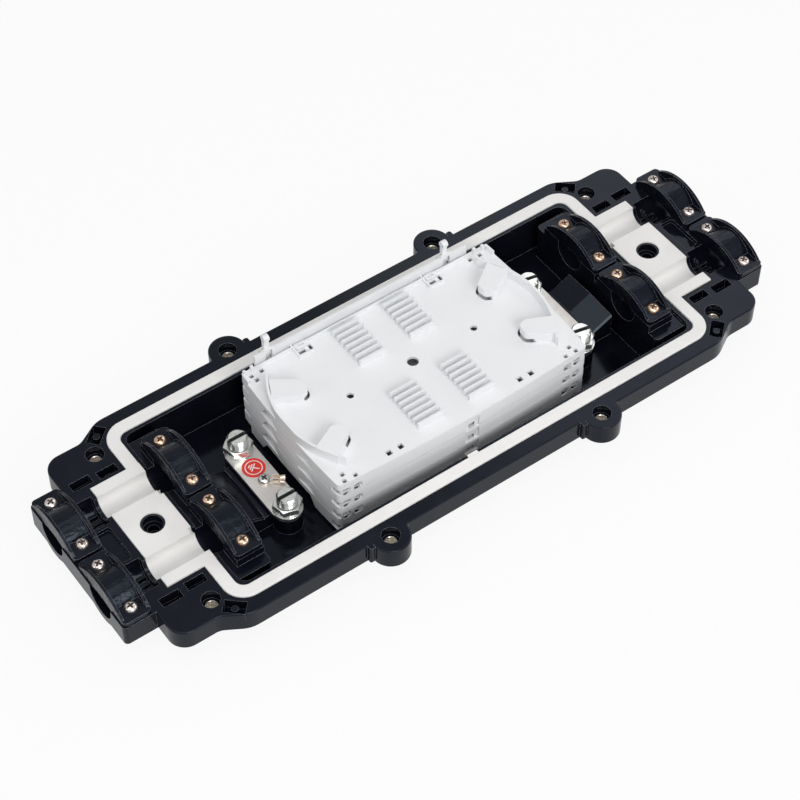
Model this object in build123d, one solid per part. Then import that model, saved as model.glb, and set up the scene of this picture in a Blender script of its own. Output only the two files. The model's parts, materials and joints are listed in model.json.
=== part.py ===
from build123d import *
import math
import os

# Fibre splice closure, lower half lying open with its clamps, gasket and four splice trays.
# Millimetres. X runs along the length, Y across it, Z up.
# The origin is in the middle of the underside of the shell.

# Shell
flange_top = 29.0
flange_depth = 12.8
floor_thickness = 3.0
wall_thickness = 3.2
cavity_half_length = 150.4
cavity_half_width = 59.2
cavity_corner = 6.0
flange_half_width = 77.0
lobe_half_width = 68.8
lobe_end_x = 195.5
shoulder_start_x = 157.0
shoulder_end_x = 171.0
tub_bottom_round = 5.0
flange_corner_rounds = (16.0, 9.0, 10.0)
flange_edge_round = 0.8
lug_root_round = 1.6

# Lugs and flange screw holes
lug_x = 70.6
lug_y = 78.2
lug_radius = 11.0
corner_hole_x = 168.5
corner_hole_y = 57.7
flange_hole_radius = 5.2
flange_hole_depth = 6.0
insert_radius = 3.4
insert_thread_radius = 2.6
insert_stand = 0.6
rim_pocket_pitch = 22.0
rim_pocket_count = 13
rim_rib_width = 2.0
rim_skin = 3.2
rim_deck = 6.6
lug_boss_half_width = 10.0
corner_core = (178.0, 190.0, 52.0, 63.0)
tab_length = 3.6
tab_reach = 2.9
tab_slot_width = 1.4
tab_corner = 1.2

# Weight-saving pockets in the flange corners
pocket_depth = 6.5
inner_pocket = (163.2, 41.2, 11.5, 5.4)
outer_pocket = (178.6, 42.2, 12.0, 5.8)
peg_x = 161.2
peg_y = 68.6
peg_radius = 1.9
peg_drop = 1.5
peg_pocket_half_length = 6.0
peg_pocket_half_width = 3.8
peg_pocket_turn = -42.0

# Gasket
gasket_rise = 1.1
groove_depth = 3.6
gasket_outer_half_length = 160.2
gasket_outer_half_width = 68.7
gasket_strip_width = 7.5
gasket_outer_corner = 13.0
gasket_edge_round = 0.6
seal_block_end_x = 182.6
seal_block_half_width = 38.5
seal_block_depth = 11.0
seal_channel_radius = 7.2
seal_hole_radius = 6.7
seal_liner_thickness = 1.0
seal_liner_drop = 0.9
seal_liner_floor = 6.0
seal_liner_throat_radius = 3.2
seal_notch_length = 1.8
seal_notch_width = 3.4
seal_notch_depth = 2.0
seal_tab_x = 4.0
seal_tab_length = 6.5
seal_tab_reach = 1.7
seal_tab_drop = 0.1

# Cable entries and clamp saddles
cable_y = 24.25
saddle_radius = 10.3
saddle_drop = 2.2
saddle_wall = 4.2
outer_block_start_x = 187.4
outer_block_end_x = 214.3
outer_block_half_width = 48.0
outer_block_depth = 14.0
outer_block_corner = 2.5
end_wall = 2.2
inner_platform_half_width = 54.6
inner_platform_drop = 2.0
inner_saddle_rise = 3.2
trough_rib_width = 1.2
trough_rib_pitch = 4.0
trough_rib_height = 2.6
trough_ring_x = 190.6
trough_ring_width = 1.2
trough_ring_height = 1.9
platform_corner = 2.5
deck_corner = 2.0

# Clamp straps
strap_width = 16.8
strap_length = 46.6
strap_pad_thickness = 3.2
strap_rise = 11.5
strap_rib_width = 1.7
strap_rib_step = 1.7
strap_rib_half_span = 21.0
strap_arch_half_span = 12.4
strap_skin = 2.2
strap_corner = 2.6
strap_rib_sink = 0.4
strap_hollow_foot = 1.5
strap_mouth = (0.2, 2.0)
strap_inner_rib_y = 4.2
strap_inner_rib_half = 0.8
strap_inner_rib_foot = 2.2
strap_screw_pitch = 31.8
outer_strap_x = 205.2
inner_strap_x = 137.6

# Clamp screws
screw_head_radius = 3.5
screw_head_height = 2.3
screw_shank_radius = 1.75
screw_grip = 9.0
screw_cross_width = 1.25
screw_cross_depth = 1.5
screw_cross_share = 1.25
screw_head_round = 0.55
screw_turns = (0, 35, 62, 15)
screw_side_turn = 20
screw_tip_clearance = 0.5
strap_hole_clearance = 0.15

# Splice trays
tray_count = 4
tray_pitch = 10.2
top_tray_floor = 45.7
tray_floor_thickness = 1.8
tray_left_x = -81.8
tray_right_x = 84.0
tray_back_y = 46.2
tray_front_y = -46.8
tray_end_bulge = 1.6
tray_front_bulge = 3.1
tray_corner = 2.4
tray_wall = 1.5
tray_stack_gap = 0.3
end_skirt_start_y = 26.0
end_lip_start_y = 21.0
end_lip_depth = 3.2
back_wall_height = 7.0
back_wall_half_length = 71.5
back_wall_outside_y = 48.6
arc_center_x = 24.5
arc_radius = 59.5
arc_height = 6.5
arc_end_x = 70.6
front_guide_points = ((80.7, 29.4), (77.6, 35.2), (70.4, 39.4))
back_guide_points = ((80.7, 29.0), (78.3, 33.6), (72.4, 35.6))
guide_rib_thickness = 1.2
fin_count = 7
fin_pitch = 4.3
fin_width = 1.3
fin_height = 4.4
comb_inner_y = 14.0
comb_inner_x = 8.3
fin_length = 17.2
center_hole_radius = 3.3
side_hole_x = 41.5
side_hole_radius = 2.0
tongue_points = ((79.5, 18.8), (64.6, 11.6), (59.5, 13.0), (58.7, 20.0), (73.7, 30.6))
tongue_front_shift = 3.9
tongue_tip_round = 3.4
tongue_root_x = 70.0
tongue_wall = 1.4
tongue_gap = 1.1
tongue_gap_end_x = 63.0
tongue_gap_height = 1.4

# Clip pads at the back of each tray, corner posts and stacking windows
clip_x = 44.0
clip_reach = 5.2
clip_wall = 1.0
clip_wall_height = 2.4
clip_pad_half = 3.3
clip_pad_start_y = 42.2
clip_fence_y = 37.3
clip_slot_width = 2.0
clip_pad_end_y = 46.6
clip_pad_height = 1.8
clip_recess = (1.2, 1.4, 0.8)
clip_front_share = 0.6
clip_slot_gap = 0.3
clip_side_slot_width = 1.9
front_hole_x = (39.7, 47.2)
front_hole_y = 43.9
front_hole_half = 1.6
back_hole_places = ((77.3, 42.2), (76.2, 38.4), (70.6, 42.4))
front_hole_places = ((77.0, 45.6), (70.0, 45.6), (75.5, 41.5))
corner_hole_half = 1.2
window_half = 1.9
window_height = 1.5
corner_post_places = ((75.2, 45.0), (80.4, 44.2))
corner_post_size = 1.7
corner_post_height = 4.4
corner_wall_height = 2.6
corner_wall_thickness = 1.0
corner_band_start_y = 38.0
corner_band_depth = 4.2
latch_low_x = -0.9
latch_high_x = 8.1
latch_recess = 1.1
latch_top = 2.0
latch_notch = (1.6, 5.6)
latch_notch_height = 3.0

# Tray hinges
hinge_places_x = (-62.5, 57.5)
hinge_offset_y = 50.2
hinge_rise = 4.1
hinge_pin_radius = 1.24
hinge_running_gap = 0.06
hinge_ring_radius = 2.2
hinge_ring_width = 3.4
hinge_ear_gap = 0.5
hinge_ear_width = 1.5
hinge_ear_radius = 1.9
hinge_stem_thickness = 2.2
hinge_window_top = 6.6
hinge_window_depth = 1.7
hinge_foot_half_width = 3.6
hinge_foot_clearance = 0.4
tray_screw_head_radius = 3.6
tray_screw_head_height = 2.0
tray_screw_shank_radius = 1.5
tray_screw_length = 9.0
tray_boss_radius = 4.5

# Strength-member bars and their studs
bar_x = 99.5
bar_length = 62.0
bar_width = 17.5
bar_thickness = 2.0
bar_top = 16.5
stud_y = 24.0
stud_radius = 5.0
stud_top = 28.0
stud_slot_width = 2.6
stud_slot_depth = 3.2
stud_slot_turn = -12.0
stud_bore_radius = 3.0
stud_bevel = 0.7
nut_across_flats = 15.0
nut_height = 4.6
nut_turn = 12.0
nut_corner_share = 0.545
nut_bevel = 0.6
washer_radius = 8.4
washer_thickness = 1.3
stud_post_radius = 8.0
bar_plinth_half_width = 20.0
bar_plinth_drop = 2.1
ramp_start_x = 111.5
ramp_end_x = 126.0
ramp_step = 0.7
ramp_rise = 7.6
ramp_fall = 1.1
ramp_bevel = 0.9
label_radius = 6.5
label_thickness = 0.2
label_y = 8.9
earth_screw_y = -1.5
earth_screw_head_radius = 3.0
earth_screw_head_height = 1.8
earth_screw_shank_radius = 1.5
earth_screw_length = 6.0
earth_lug_turn = -36.0
earth_lug_thickness = 0.8
earth_lug_length = 10.5
earth_lug_ring_radius = 3.6
earth_lug_tail_width = 3.2
earth_barrel_length = 5.0
earth_barrel_radius = 1.9
earth_barrel_bore_radius = 1.2
earth_barrel_distance = 8.4

flange_bottom = flange_top - flange_depth
gasket_top = flange_top + gasket_rise
gasket_bottom = flange_top - groove_depth
gasket_inner_half_length = gasket_outer_half_length - gasket_strip_width
gasket_inner_half_width = gasket_outer_half_width - gasket_strip_width
gasket_inner_corner = gasket_outer_corner - gasket_strip_width
seal_block_bottom = gasket_top - seal_block_depth
seal_block_start_x = gasket_inner_half_length
inner_saddle_top = flange_top + inner_saddle_rise
inner_platform_top = flange_top - inner_platform_drop
inner_platform_start_x = inner_strap_x - strap_width / 2
outer_saddle_start_x = outer_strap_x - strap_width / 2
bar_bottom = bar_top - bar_thickness
lowest_tray_floor = top_tray_floor - (tray_count - 1) * tray_pitch
skirt_depth = tray_pitch - tray_stack_gap
hinge_foot_top = tray_pitch - tray_floor_thickness - hinge_foot_clearance
hinge_hole_radius = hinge_pin_radius + hinge_running_gap


def block(x_low, x_high, y_low, y_high, z_low, z_high):
    size = (x_high - x_low, y_high - y_low, z_high - z_low)
    middle = ((x_low + x_high) / 2, (y_low + y_high) / 2, (z_low + z_high) / 2)
    return Pos(*middle) * Box(*size)


def post(x, y, radius, z_low, z_high):
    return Pos(x, y, (z_low + z_high) / 2) * Cylinder(radius, z_high - z_low)


def rod_along_x(x_low, x_high, y, z, radius):
    return Pos((x_low + x_high) / 2, y, z) * Rot(0, 90, 0) * Cylinder(radius, x_high - x_low)


def rounded_slab(half_x, half_y, corner, z_low, z_high):
    face = RectangleRounded(2 * half_x, 2 * half_y, corner)
    return Pos(0, 0, z_low) * extrude(face, z_high - z_low)


def profile_along_x(face, x_low, x_high):
    """A face drawn in Y and Z, as its X and Y, swept from one X to another."""
    plane = Plane(origin=(x_low, 0, 0), x_dir=(0, 1, 0), z_dir=(1, 0, 0))
    return extrude(plane * face, x_high - x_low)


def both_ends(shape):
    return [shape, Rot(0, 0, 180) * shape]


def four_corners(x, y):
    return [(sx * x, sy * y) for sx in (-1, 1) for sy in (-1, 1)]


def joined(shapes):
    result = shapes[0]
    for shape in shapes[1:]:
        result = result + shape
    return result


# Lower shell

def flange_outline():
    quarter = [
        (shoulder_start_x, flange_half_width),
        (shoulder_end_x, lobe_half_width),
        (lobe_end_x, lobe_half_width),
    ]
    points = list(quarter)
    points += [(x, -y) for x, y in reversed(quarter)]
    points += [(-x, -y) for x, y in quarter]
    points += [(-x, y) for x, y in reversed(quarter)]
    face = make_face(Polyline(*points, close=True))
    for x, radius in zip((shoulder_start_x, shoulder_end_x, lobe_end_x), flange_corner_rounds):
        corners = [v for v in face.vertices() if abs(abs(v.X) - x) < 0.01]
        face = fillet(corners, radius)
    for x, y in four_corners(lug_x, lug_y):
        face = face + Pos(x, y) * Circle(lug_radius)
    on_edge = [v for v in face.vertices() if abs(abs(v.Y) - flange_half_width) < 0.01]
    roots = [v for v in on_edge if abs(v.X) < lug_x + 2 * lug_radius]
    return fillet(roots, lug_root_round)


def side_tab():
    """Small slotted tab beside each lug."""
    start = lug_x + lug_radius - 0.6
    tab = block(start, start + tab_length, flange_half_width - 7, flange_half_width + tab_reach,
                flange_bottom + 1, flange_top)
    tab = fillet(tab.edges().filter_by(Axis.Z).group_by(Axis.Y)[-1], tab_corner)
    slot = block(start - 1, start - 1 + tab_slot_width, flange_half_width, flange_half_width + 6,
                 flange_bottom - 1, flange_top + 1)
    return tab - slot


def make_base_shell():
    tub = rounded_slab(cavity_half_length + wall_thickness, cavity_half_width + wall_thickness,
                       cavity_corner + wall_thickness, 0, flange_top)
    tub = fillet(tub.faces().sort_by(Axis.Z)[0].edges(), tub_bottom_round)
    flange = Pos(0, 0, flange_bottom) * extrude(flange_outline(), flange_depth)
    flange = fillet(flange.faces().sort_by(Axis.Z)[-1].outer_wire().edges(), flange_edge_round)
    shell = tub + flange
    right_tab = side_tab()
    left_tab = Pos(-2 * lug_x, 0, 0) * right_tab
    for tab in (right_tab, left_tab):
        for copy in both_ends(tab):
            shell = shell + copy

    # End block with the two outer saddles, and the trough that carries the sealing block
    trough_bottom = seal_block_bottom - wall_thickness
    for side in (-1, 1):
        x_low = min(side * outer_block_start_x, side * outer_block_end_x)
        x_high = max(side * outer_block_start_x, side * outer_block_end_x)
        end_block = block(x_low, x_high, -outer_block_half_width, outer_block_half_width,
                          flange_top - outer_block_depth, flange_top)
        end_edges = end_block.edges().filter_by(Axis.Z)
        end_edges = [e for e in end_edges if abs(e.center().X) > outer_block_start_x + 5]
        end_block = fillet(end_edges, outer_block_corner)
        shell = shell + end_block
        x_low = min(side * cavity_half_length, side * outer_block_start_x)
        x_high = max(side * cavity_half_length, side * outer_block_start_x)
        shell = shell + block(x_low, x_high, -seal_block_half_width - wall_thickness,
                              seal_block_half_width + wall_thickness, trough_bottom, flange_top - 0.5)
        for y in (-cable_y, cable_y):
            x_low = min(side * cavity_half_length, side * outer_block_end_x)
            x_high = max(side * cavity_half_length, side * outer_block_end_x)
            pipe = rod_along_x(x_low, x_high, y, flange_top - saddle_drop, saddle_radius + saddle_wall)
            above = block(x_low - 1, x_high + 1, y - 20, y + 20, flange_top - 3, flange_top + 30)
            shell = shell + (pipe - above)

    # Cavity, gasket groove and seats of the sealing blocks
    shell = shell - rounded_slab(cavity_half_length, cavity_half_width, cavity_corner,
                                 floor_thickness, flange_top + 1)
    shell = shell - (gasket_ring(gasket_bottom, flange_top + 1))
    for side in (-1, 1):
        x_low = min(side * seal_block_start_x, side * seal_block_end_x)
        x_high = max(side * seal_block_start_x, side * seal_block_end_x)
        shell = shell - block(x_low, x_high, -seal_block_half_width, seal_block_half_width,
                              seal_block_bottom, flange_top + 1)

    # Inner saddle platforms stand in the cavity against its end walls
    for side in (-1, 1):
        x_low = min(side * inner_platform_start_x, side * (cavity_half_length + 0.5))
        x_high = max(side * inner_platform_start_x, side * (cavity_half_length + 0.5))
        platform = block(x_low, x_high, -inner_platform_half_width, inner_platform_half_width,
                         floor_thickness, inner_platform_top)
        corners = [e for e in platform.edges().filter_by(Axis.Z) if abs(e.center().X) < inner_strap_x]
        shell = shell + fillet(corners, platform_corner)
        x_inner = side * (inner_strap_x + strap_width / 2)
        x_low = min(side * inner_platform_start_x, x_inner)
        x_high = max(side * inner_platform_start_x, x_inner)
        for y in (-cable_y, cable_y):
            half = strap_length / 2
            shell = shell + block(x_low, x_high, y - half, y + half,
                                  inner_platform_top - 1, inner_saddle_top)

    # Cable ways: the saddles, and the narrower way under the seal channels
    for side in (-1, 1):
        for y in (-cable_y, cable_y):
            inner_low = min(side * (inner_platform_start_x - 1), side * seal_block_start_x)
            inner_high = max(side * (inner_platform_start_x - 1), side * seal_block_start_x)
            saddle_z = inner_saddle_top - saddle_drop
            shell = shell - rod_along_x(inner_low, inner_high, y, saddle_z, saddle_radius)
            shell = shell - block(inner_low, inner_high, y - saddle_radius, y + saddle_radius,
                                  saddle_z, inner_saddle_top + 1)
            outer_low = min(side * seal_block_end_x, side * (outer_block_end_x + 1))
            outer_high = max(side * seal_block_end_x, side * (outer_block_end_x + 1))
            wall_low = min(side * seal_block_end_x, side * (seal_block_end_x + end_wall))
            wall_high = max(side * seal_block_end_x, side * (seal_block_end_x + end_wall))
            outer_z = flange_top - saddle_drop
            past_wall_low = outer_low if side < 0 else wall_high
            past_wall_high = wall_low if side < 0 else outer_high
            shell = shell - rod_along_x(past_wall_low, past_wall_high, y, outer_z, saddle_radius)
            shell = shell - block(past_wall_low, past_wall_high, y - saddle_radius, y + saddle_radius,
                                  outer_z, flange_top + 1)
            shell = shell - rod_along_x(wall_low, wall_high, y, flange_top, seal_channel_radius)
            rib_low = min(side * (outer_block_start_x - 2), side * (outer_saddle_start_x - 0.5))
            rib_high = max(side * (outer_block_start_x - 2), side * (outer_saddle_start_x - 0.5))
            for step in (-1, 0, 1):
                rib_y = y + step * trough_rib_pitch
                reach = abs(step) * trough_rib_pitch + 1
                dip = saddle_radius - math.sqrt(saddle_radius ** 2 - reach ** 2)
                rib_bottom = outer_z - saddle_radius + dip
                shell = shell + block(rib_low, rib_high, rib_y - trough_rib_width / 2,
                                      rib_y + trough_rib_width / 2, rib_bottom - 1.5,
                                      rib_bottom + trough_rib_height)
            ring_low = min(side * trough_ring_x, side * (trough_ring_x + trough_ring_width))
            ring = rod_along_x(ring_low, ring_low + trough_ring_width, y, outer_z, saddle_radius + 0.5)
            ring = ring - rod_along_x(ring_low - 1, ring_low + 2 * trough_ring_width, y, outer_z,
                                      saddle_radius - trough_ring_height)
            shell = shell + (ring - block(ring_low - 1, ring_low + 3, y - 20, y + 20,
                                          outer_z - saddle_radius * 0.5, outer_z + 20))

    # Sunk deck between the two outer cable ways
    for side in (-1, 1):
        deck_half = cable_y - saddle_radius - 2
        x_low = min(side * (outer_block_start_x - 0.4), side * (outer_saddle_start_x - 0.8))
        x_high = max(side * (outer_block_start_x - 0.4), side * (outer_saddle_start_x - 0.8))
        deck = block(x_low, x_high, -deck_half, deck_half, flange_top - 2.5, flange_top + 1)
        shell = shell - fillet(deck.edges().filter_by(Axis.Z), deck_corner)

    shell = shell - flange_pockets()

    # Flange screw holes: a clearance hole above, the insert's seat below
    for x, y in flange_hole_places():
        shell = shell - post(x, y, flange_hole_radius, flange_top - flange_hole_depth, flange_top + 1)
        shell = shell - post(x, y, insert_radius, flange_bottom - 1, flange_top)
    for pocket in rim_pockets():
        shell = shell - pocket

    # Black liner inside the hole of each sealing block
    for side in (-1, 1):
        x = side * (seal_block_start_x + seal_block_end_x) / 2
        liner = post(x, 0, seal_hole_radius, trough_bottom, gasket_top - seal_liner_drop)
        liner = liner - post(x, 0, seal_hole_radius - seal_liner_thickness,
                             gasket_top - seal_liner_floor, gasket_top)
        shell = shell + (liner - post(x, 0, seal_liner_throat_radius, seal_block_bottom, gasket_top))

    # Bar plinths with a post under each stud, and the ramp up to the inner saddles
    for side in (-1, 1):
        shell = shell + bar_plinth(side)
        for y in (-stud_y, stud_y):
            shell = shell + post(side * bar_x, y, stud_post_radius, floor_thickness, bar_bottom)

    shell = shell - post(-bar_x, earth_screw_y, earth_screw_shank_radius,
                         bar_top + earth_lug_thickness - earth_screw_length, bar_bottom)

    # Bosses under the lowest tray
    boss_top = lowest_tray_floor - tray_floor_thickness
    for x in (-side_hole_x, 0, side_hole_x):
        shell = shell + post(x, 0, tray_boss_radius, floor_thickness, boss_top)
    for x in (-side_hole_x, side_hole_x):
        shell = shell - post(x, 0, tray_screw_shank_radius, boss_top - tray_screw_length, boss_top + 1)

    # Screw holes in the saddles
    for x, top in ((outer_strap_x, flange_top), (inner_strap_x, inner_saddle_top)):
        for sx in (-1, 1):
            for y in strap_screw_places():
                shell = shell - post(sx * x, y, screw_shank_radius, top - screw_grip, top + 1)
    return shell


def flange_hole_places():
    return four_corners(lug_x, lug_y) + four_corners(corner_hole_x, corner_hole_y)


def rim_pockets():
    """Cored pockets under the flange, with ribs left between them."""
    pockets = []
    first = -rim_pocket_pitch * rim_pocket_count / 2
    inside = cavity_half_width + wall_thickness + rim_rib_width
    outside = flange_half_width - rim_skin
    for index in range(rim_pocket_count):
        x_low = first + index * rim_pocket_pitch + rim_rib_width / 2
        x_high = x_low + rim_pocket_pitch - rim_rib_width
        if abs(abs(x_low + x_high) / 2 - lug_x) < lug_boss_half_width:
            continue
        for side in (-1, 1):
            y_low = min(side * inside, side * outside)
            y_high = max(side * inside, side * outside)
            pockets.append(block(x_low, x_high, y_low, y_high, flange_bottom - 1, flange_top - rim_deck))
    for sign_x, sign_y in four_corners(1, 1):
        core = block(*corner_core, flange_bottom - 1, flange_top - rim_deck)
        pockets.append(mirrored(core, sign_x, sign_y))
    return pockets


def bar_plinth(side):
    """Seat of the bar, then a ramp with a low ridge along its middle."""
    seat = bar_bottom - bar_plinth_drop
    half = bar_plinth_half_width
    plinth = block(bar_x - bar_width / 2, ramp_start_x, -half, half, floor_thickness, seat)
    sections = []
    for x, ridge in ((ramp_start_x, seat + ramp_step), (ramp_end_x, seat + ramp_rise)):
        eaves = ridge - ramp_fall
        outline = Polyline((-half, floor_thickness), (-half, eaves - ramp_bevel),
                           (-half + ramp_bevel, eaves), (0, ridge), (half - ramp_bevel, eaves),
                           (half, eaves - ramp_bevel), (half, floor_thickness), close=True)
        plane = Plane(origin=(x, 0, 0), x_dir=(0, 1, 0), z_dir=(1, 0, 0))
        sections.append(plane * make_face(outline))
    plinth = plinth + loft(sections, ruled=True)
    return plinth if side > 0 else Rot(0, 0, 180) * plinth


def flange_pockets():
    """Weight-saving pockets in the flange corners, one of them with a peg."""
    bottom = flange_top - pocket_depth
    cuts = []
    for sign_x, sign_y in four_corners(1, 1):
        for x, y, length, width in (inner_pocket, outer_pocket):
            pocket = block(x, x + length, y, y + width, bottom, flange_top + 1)
            cuts.append(mirrored(pocket, sign_x, sign_y))
        peg_pocket = block(-peg_pocket_half_length, peg_pocket_half_length,
                           -peg_pocket_half_width, peg_pocket_half_width, bottom, flange_top + 1)
        peg_pocket = Pos(peg_x, peg_y, 0) * Rot(0, 0, peg_pocket_turn) * peg_pocket
        peg_pocket = peg_pocket - post(peg_x, peg_y, peg_radius, bottom, flange_top - peg_drop)
        cuts.append(mirrored(peg_pocket, sign_x, sign_y))
    return joined(cuts)


def mirrored(shape, sign_x, sign_y):
    if sign_x < 0:
        shape = mirror(shape, about=Plane.YZ)
    if sign_y < 0:
        shape = mirror(shape, about=Plane.XZ)
    return shape


def strap_screw_places():
    half = strap_screw_pitch / 2
    return [-cable_y - half, -cable_y + half, cable_y - half, cable_y + half]


# Sealing gasket

def gasket_ring(z_low, z_high):
    outer = rounded_slab(gasket_outer_half_length, gasket_outer_half_width, gasket_outer_corner,
                         z_low, z_high)
    inner = rounded_slab(gasket_inner_half_length, gasket_inner_half_width, gasket_inner_corner,
                         z_low - 1, z_high + 1)
    return outer - inner


def make_gasket():
    ring = gasket_ring(gasket_bottom, gasket_top)
    ring = fillet(ring.faces().sort_by(Axis.Z)[-1].edges(), gasket_edge_round)
    for shape in both_ends(block(-seal_tab_x - seal_tab_length / 2, -seal_tab_x + seal_tab_length / 2,
                                 -gasket_inner_half_width - 1, -gasket_inner_half_width + seal_tab_reach,
                                 flange_top, gasket_top - seal_tab_drop)):
        ring = ring + shape
    for side in (-1, 1):
        x_low = min(side * seal_block_start_x, side * seal_block_end_x)
        x_high = max(side * seal_block_start_x, side * seal_block_end_x)
        seal = block(x_low, x_high, -seal_block_half_width, seal_block_half_width,
                     seal_block_bottom, gasket_top)
        middle = (x_low + x_high) / 2
        ring = ring + seal
        for y in (-cable_y, cable_y):
            ring = ring - rod_along_x(x_low - 9, x_high + 1, y, flange_top, seal_channel_radius)
            ring = ring - block(x_low - 9, x_high + 1, y - seal_channel_radius, y + seal_channel_radius,
                                flange_top, gasket_top + 1)
        ring = ring - post(middle, 0, seal_hole_radius, seal_block_bottom - 1, gasket_top + 1)
        inner_edge = side * seal_block_start_x
        notch_low = min(inner_edge, inner_edge + side * seal_notch_length) - 0.5 * (side > 0)
        notch_high = max(inner_edge, inner_edge + side * seal_notch_length) + 0.5 * (side < 0)
        notch_y = cable_y - seal_channel_radius
        for y in (-notch_y, notch_y - seal_notch_width):
            ring = ring - block(notch_low, notch_high, y, y + seal_notch_width,
                                flange_top - seal_notch_depth, gasket_top + 1)
    return ring


# Clamp straps and their screws

def arch_face(half_span, foot, peak):
    """Segment with a flat bottom at zero, straight feet and an arched top."""
    arc = ThreePointArc((half_span, foot), (0, peak), (-half_span, foot))
    base = Polyline((-half_span, foot), (-half_span, 0), (half_span, 0), (half_span, foot))
    return make_face([arc, base])


def make_strap():
    half_width = strap_width / 2
    half_screw = strap_screw_pitch / 2
    strap = rounded_slab(half_width, strap_length / 2, strap_corner, 0, strap_pad_thickness)
    web_peak = strap_rise - strap_rib_step
    web = profile_along_x(arch_face(strap_arch_half_span, strap_pad_thickness, web_peak),
                          -half_width, half_width)
    strap = strap + web
    rib_face = arch_face(strap_rib_half_span, strap_pad_thickness - strap_rib_sink, strap_rise)
    for x in (-half_width, half_width - strap_rib_width):
        strap = strap + profile_along_x(rib_face, x, x + strap_rib_width)
    inside = half_width - strap_rib_width
    hollow = profile_along_x(arch_face(saddle_radius, strap_hollow_foot, web_peak - strap_skin),
                             -inside, inside)
    for y in (-strap_inner_rib_y, strap_inner_rib_y):
        hollow = hollow - block(-inside - 1, inside + 1, y - strap_inner_rib_half,
                                y + strap_inner_rib_half, strap_inner_rib_foot, strap_rise)
    strap = strap - hollow
    mouth = arch_face(saddle_radius, *strap_mouth)
    strap = strap - profile_along_x(mouth, -half_width - 1, half_width + 1)
    for y in (-half_screw, half_screw):
        hole = screw_shank_radius + strap_hole_clearance
        strap = strap - post(0, y, hole, -1, strap_pad_thickness + 1)
    return strap


def pan_screw(head_radius, head_height, shank_radius, shank_length):
    """Pan head with its underside at zero, cross recess and plain shank."""
    head = Cylinder(head_radius, head_height, align=(Align.CENTER, Align.CENTER, Align.MIN))
    head = fillet(head.edges().group_by(Axis.Z)[-1], head_height * screw_head_round)
    cross_length = head_radius * screw_cross_share
    for size in ((cross_length, screw_cross_width), (screw_cross_width, cross_length)):
        head = head - Pos(0, 0, head_height) * Box(size[0], size[1], 2 * screw_cross_depth)
    return head + post(0, 0, shank_radius, -shank_length, 0.1)


def clamp_screws(x, seat):
    length = screw_grip + strap_pad_thickness - screw_tip_clearance
    screw = pan_screw(screw_head_radius, screw_head_height, screw_shank_radius, length)
    solids = []
    for sx in (-1, 1):
        for y, turn in zip(strap_screw_places(), screw_turns):
            place = Pos(sx * x, y, seat + strap_pad_thickness)
            solids.append(place * Rot(0, 0, turn + screw_side_turn * sx) * screw)
    return Compound(children=solids)


# Splice trays, drawn with the top of the tray floor at zero

def tray_outline(inset):
    left = tray_left_x + inset
    right = tray_right_x - inset
    back = tray_back_y - inset
    front = tray_front_y + inset
    middle = ((left + right) / 2, front - tray_front_bulge)
    front_edge = ThreePointArc((left, front), middle, (right, front))
    right_edge = ThreePointArc((right, front), (right + tray_end_bulge, 0), (right, back))
    left_edge = ThreePointArc((left, back), (left - tray_end_bulge, 0), (left, front))
    face = make_face([front_edge, right_edge, Line((right, back), (left, back)), left_edge])
    return fillet(face.vertices(), max(tray_corner - inset, 0.4))


def tray_slab(inset, z_low, z_high):
    return Pos(0, 0, z_low) * extrude(tray_outline(inset), z_high - z_low)


def arc_band(side):
    """Upright curved wall that the fibre is coiled against, at one end of the tray."""
    band = Cylinder(arc_radius, arc_height, align=(Align.CENTER, Align.CENTER, Align.MIN))
    band = band - Cylinder(arc_radius - tray_wall, 3 * arc_height)
    band = Pos(side * arc_center_x, 0, 0) * band
    x_low = min(side * arc_end_x, side * 200)
    x_high = max(side * arc_end_x, side * 200)
    return band & block(x_low, x_high, -80, 80, -1, arc_height + 1)


def guide_rib(points):
    path = ThreePointArc(*points)
    return extrude(offset(path, amount=guide_rib_thickness / 2, side=Side.BOTH), arc_height)


def low_wall(start, end, height):
    """Straight upright wall between two points of the tray floor."""
    length = math.hypot(end[0] - start[0], end[1] - start[1])
    turn = math.degrees(math.atan2(end[1] - start[1], end[0] - start[0]))
    wall = block(0, length, -corner_wall_thickness / 2, corner_wall_thickness / 2, -0.5, height)
    return Pos(start[0], start[1], 0) * Rot(0, 0, turn) * wall


def end_skirts():
    """Skirt down to the tray below at the front and the corners, a lip at the ends."""
    skirt = tray_slab(0, -skirt_depth, -0.5) - tray_slab(tray_wall, -skirt_depth - 1, 1)
    skirt = skirt - block(-200, 200, corner_band_start_y, 200, -skirt_depth - 1, -corner_band_depth)
    skirt = skirt - block(-back_wall_half_length, back_wall_half_length, corner_band_start_y, 200,
                          -skirt_depth - 1, 1)
    gap = make_face(Polyline((-end_skirt_start_y, -skirt_depth - 1), (-end_lip_start_y, -end_lip_depth),
                             (end_lip_start_y, -end_lip_depth), (end_skirt_start_y, -skirt_depth - 1),
                             close=True))
    skirt = skirt - profile_along_x(gap, tray_right_x - 4, 200)
    return skirt - profile_along_x(gap, -200, tray_left_x + 4)


def tongue_face(shift):
    face = make_face(Polyline(*[(x, y + shift) for x, y in tongue_points], close=True))
    return fillet([v for v in face.vertices() if v.X < tongue_root_x], tongue_tip_round)


def retention_tongue(shift):
    """Hollow tongue over the coil, free of the floor at its tip, and the cuts it needs."""
    face = tongue_face(shift)
    body = Pos(0, 0, -0.5) * extrude(face, arc_height + 0.5)
    hollow_height = arc_height - tongue_wall + 3
    hollow = Pos(0, 0, -3) * extrude(offset(face, amount=-tongue_wall), hollow_height)
    ring = Pos(0, 0, -3) * extrude(offset(face, amount=tongue_gap), tongue_gap_height + 3)
    gap = ring & block(0, tongue_gap_end_x, 0, 60, -4, arc_height)
    return body, hollow + gap


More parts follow.
